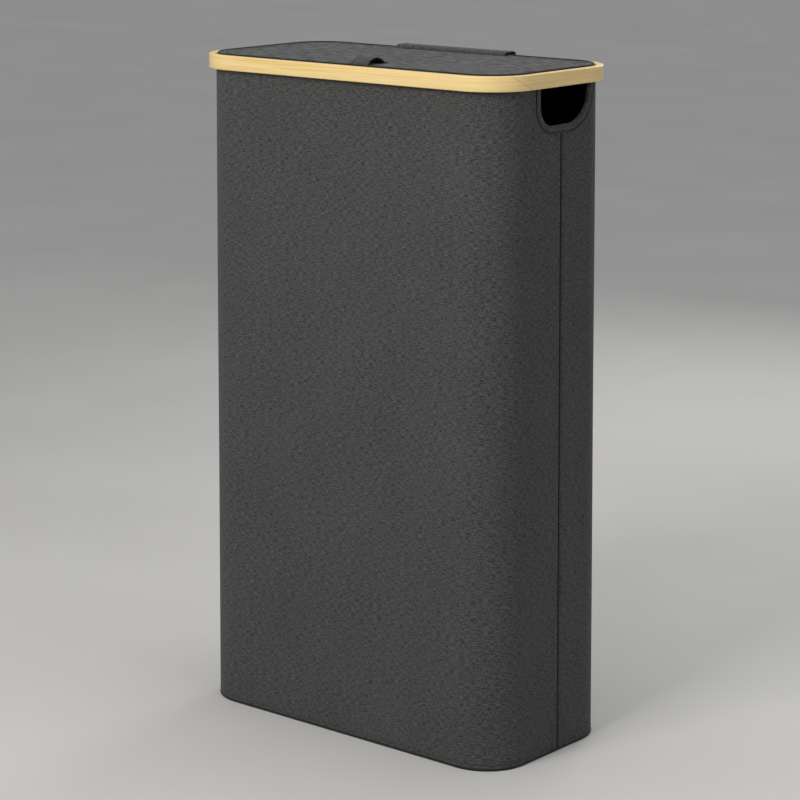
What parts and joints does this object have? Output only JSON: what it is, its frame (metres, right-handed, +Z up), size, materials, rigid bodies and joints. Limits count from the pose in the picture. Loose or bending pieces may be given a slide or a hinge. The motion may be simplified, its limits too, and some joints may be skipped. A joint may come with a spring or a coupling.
{
  "type": "laundry sorter",
  "caption": "Tall slim fabric laundry sorter with a bamboo rim, hand cutouts, a fabric-hinged lid with a finger loop and two liner bags with webbing handles.",
  "frame": {"origin": "centre of the base, on the floor", "axes": "+Z up, +X along the width, the front with the finger loop faces -Y and the hinge is at +Y"},
  "size_m": [0.41, 0.2014, 0.7075],
  "materials": {
    "bamboo": "pale laminated bamboo, satin lacquer",
    "outer_fabric": "dark charcoal melange linen-look weave",
    "lining_fabric": "thin smooth black lining",
    "channel_fabric": "black non-woven channel",
    "trim_tape": "black woven binding and piping",
    "bag_fabric": "grey polyester liner cloth",
    "webbing": "black ribbed webbing",
    "hook_tape": "black hook-and-loop tape",
    "padding": "thin needled padding",
    "stiffener": "thin hollow plastic sheet",
    "covered_board": "stiff board covered with black cloth",
    "board": "thin fibreboard",
    "hoop_plastic": "black moulded plastic",
    "pole_metal": "drawn aluminium tube",
    "screw_steel": "zinc plated"
  },
  "bodies": {
    "root": {"bamboo_rim": "bamboo", "clamp_hoop": "hoop_plastic", "hoop_screws": "screw_steel", "front_panel": "outer_fabric", "rear_panel": "outer_fabric", "front_board": "stiffener", "rear_board": "stiffener", "body_lining": "lining_fabric", "right_seam_tape": "trim_tape", "left_seam_tape": "trim_tape", "right_cutout_binding": "trim_tape", "left_cutout_binding": "trim_tape", "front_right_pole": "pole_metal", "front_left_pole": "pole_metal", "rear_right_pole": "pole_metal", "rear_left_pole": "pole_metal", "front_right_channel": "channel_fabric", "front_left_channel": "channel_fabric", "rear_right_channel": "channel_fabric", "rear_left_channel": "channel_fabric", "pole_foot_cups": "hoop_plastic", "base_piping": "trim_tape", "base_panel": "lining_fabric", "base_board": "covered_board", "right_liner_bag": "bag_fabric", "left_liner_bag": "bag_fabric", "right_bag_floor": "bag_fabric", "left_bag_floor": "bag_fabric", "right_bag_band": "webbing", "left_bag_band": "webbing", "right_bag_tabs": "webbing", "left_bag_tabs": "webbing", "wall_patches": "hook_tape", "flap_tail": "outer_fabric", "flap_hook_strip": "hook_tape"},
    "hinge_flap": {"flap_front_fold": "outer_fabric", "flap_rear_fold": "outer_fabric"},
    "lid": {"lid_board": "board", "lid_padding": "padding", "lid_cover": "outer_fabric", "lid_lining": "lining_fabric", "lid_piping": "trim_tape", "finger_loop": "outer_fabric", "flap_foot": "outer_fabric"},
    "right_front_handle": {"right_front_handle": "webbing"},
    "right_rear_handle": {"right_rear_handle": "webbing"},
    "left_front_handle": {"left_front_handle": "webbing"},
    "left_rear_handle": {"left_rear_handle": "webbing"}
  },
  "joints": [
    {"name": "flap_turn", "type": "hinge", "parent": "root", "child": "hinge_flap", "pos_m": [0, 0.1006, 0.7005], "axis": [-1, 0, 0], "range_deg": [0, 125], "deforming": ["flap_rear_fold", "flap_front_fold"]},
    {"name": "lid_turn", "type": "hinge", "parent": "hinge_flap", "child": "lid", "pos_m": [0, 0.1006, 0.7005], "axis": [-1, 0, 0], "range_deg": [0, 125]},
    {"name": "right_front_handle_swing", "type": "hinge", "parent": "root", "child": "right_front_handle", "pos_m": [0.09618, -0.07936, 0.606], "axis": [1, 0, 0], "range_deg": [0, 180]},
    {"name": "right_rear_handle_swing", "type": "hinge", "parent": "root", "child": "right_rear_handle", "pos_m": [0.09618, 0.07936, 0.606], "axis": [-1, 0, 0], "range_deg": [0, 180]},
    {"name": "left_front_handle_swing", "type": "hinge", "parent": "root", "child": "left_front_handle", "pos_m": [-0.09618, -0.07936, 0.606], "axis": [1, 0, 0], "range_deg": [0, 180]},
    {"name": "left_rear_handle_swing", "type": "hinge", "parent": "root", "child": "left_rear_handle", "pos_m": [-0.09618, 0.07936, 0.606], "axis": [-1, 0, 0], "range_deg": [0, 180]}
  ],
  "couplings": [
    {"joint": "lid_turn", "follows": "flap_turn", "ratio": 1}
  ]
}
